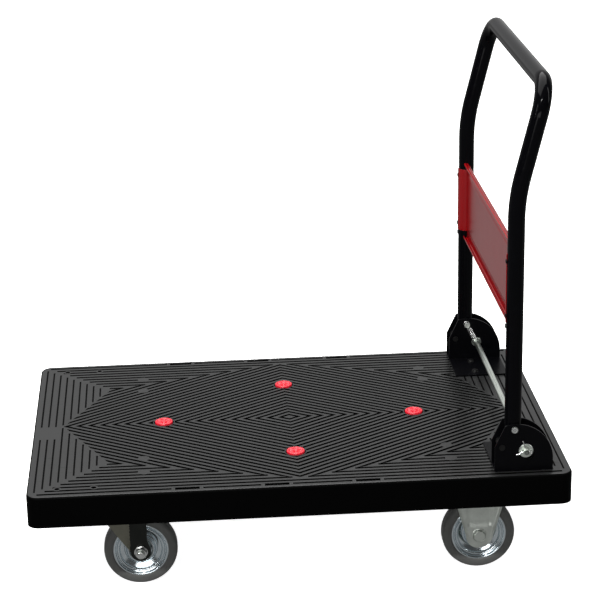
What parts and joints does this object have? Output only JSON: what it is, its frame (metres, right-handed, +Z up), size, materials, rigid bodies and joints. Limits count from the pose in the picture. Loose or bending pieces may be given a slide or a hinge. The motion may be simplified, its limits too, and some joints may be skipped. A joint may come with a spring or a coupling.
{
  "type": "folding platform cart",
  "caption": "Folding platform cart: flat moulded deck with a diamond anti-slip pattern, swivel and fixed casters, and a tubular push handle that folds over the deck.",
  "frame": {"origin": "on the floor, under the middle of the deck", "axes": "+X towards the handle end of the deck, +Z up, +Y to the left when looking along +X; node names call the -Y side right and the +Y side left"},
  "size_m": [0.9, 0.6, 0.873],
  "materials": {
    "deck_plastic": "satin, moulded, slightly scuffed",
    "red_plastic": "glossy",
    "brass": "turned",
    "zinc": "zinc plated",
    "zinc_pressing": "zinc plated pressing",
    "zinc_rim": "bright zinc plate",
    "zinc_rod": "zinc plated, drawn",
    "bright_steel": "polished",
    "black_steel": "gloss black powder coat",
    "black_tube": "gloss black powder coat",
    "black_fixing": "black oxide",
    "black_plastic": "satin",
    "black_rubber": "matt",
    "red_sheet": "gloss red powder coat",
    "grey_tyre": "matt grey rubber"
  },
  "bodies": {
    "deck": {"deck": "deck_plastic", "deck_plugs": "red_plastic", "caster_inserts": "brass", "caster_bolts": "zinc", "caster_washers": "zinc", "bracket_right": "black_steel", "bracket_left": "black_steel", "bracket_bolts": "black_fixing", "bracket_washers": "zinc", "bracket_nuts": "zinc", "pivot_pins": "bright_steel", "stop_pins": "black_steel", "lock_springs": "bright_steel", "swivel_plate_right": "zinc_pressing", "swivel_plate_left": "zinc_pressing", "kingpins": "zinc", "kingpin_nuts": "zinc", "balls_right": "bright_steel", "balls_left": "bright_steel", "fixed_fork_right": "zinc_pressing", "fixed_fork_left": "zinc_pressing", "fixed_axles": "zinc", "fixed_axle_nuts": "zinc", "fixed_sleeves": "zinc"},
    "lock": {"lock_rod": "zinc_rod", "rod_washers": "zinc_rod", "split_pins": "bright_steel"},
    "handle": {"handle_tube": "black_tube", "foot_caps": "black_plastic", "leg_bumpers": "black_rubber", "cross_plate": "red_sheet", "plate_rivets": "black_fixing"},
    "swivel_right": {"swivel_fork_right": "zinc_pressing", "swivel_axle_right": "zinc", "swivel_nut_right": "bright_steel", "swivel_sleeve_right": "zinc"},
    "front_wheel_right": {"front_rim_right": "zinc_rim", "front_tyre_right": "grey_tyre", "front_bearings_right": "bright_steel"},
    "rear_wheel_right": {"rear_rim_right": "zinc_rim", "rear_tyre_right": "grey_tyre", "rear_bearings_right": "bright_steel"},
    "swivel_left": {"swivel_fork_left": "zinc_pressing", "swivel_axle_left": "zinc", "swivel_nut_left": "bright_steel", "swivel_sleeve_left": "zinc"},
    "front_wheel_left": {"front_rim_left": "zinc_rim", "front_tyre_left": "grey_tyre", "front_bearings_left": "bright_steel"},
    "rear_wheel_left": {"rear_rim_left": "zinc_rim", "rear_tyre_left": "grey_tyre", "rear_bearings_left": "bright_steel"}
  },
  "joints": [
    {"name": "handle_fold", "type": "hinge", "parent": "deck", "child": "handle", "pos_m": [0.353, 0, 0.287], "axis": [0, -1, 0], "range_deg": [0, 95]},
    {"name": "lock_release", "type": "slide", "parent": "deck", "child": "lock", "axis": [0.4614, 0, -0.8872], "range_m": [0, 0.012], "stiffness_N_per_m": 2500, "springref_m": -0.008, "deforming": ["lock_springs"]},
    {"name": "swivel_right_turn", "type": "hinge", "parent": "deck", "child": "swivel_right", "pos_m": [-0.309, -0.185, 0.14], "axis": [0, 0, 1], "continuous": true},
    {"name": "front_wheel_right_spin", "type": "hinge", "parent": "swivel_right", "child": "front_wheel_right", "pos_m": [-0.269, -0.185, 0.0625], "axis": [0, 1, 0], "continuous": true},
    {"name": "rear_wheel_right_spin", "type": "hinge", "parent": "deck", "child": "rear_wheel_right", "pos_m": [0.309, -0.185, 0.0625], "axis": [0, 1, 0], "continuous": true},
    {"name": "swivel_left_turn", "type": "hinge", "parent": "deck", "child": "swivel_left", "pos_m": [-0.309, 0.185, 0.14], "axis": [0, 0, 1], "continuous": true},
    {"name": "front_wheel_left_spin", "type": "hinge", "parent": "swivel_left", "child": "front_wheel_left", "pos_m": [-0.269, 0.185, 0.0625], "axis": [0, 1, 0], "continuous": true},
    {"name": "rear_wheel_left_spin", "type": "hinge", "parent": "deck", "child": "rear_wheel_left", "pos_m": [0.309, 0.185, 0.0625], "axis": [0, 1, 0], "continuous": true}
  ]
}
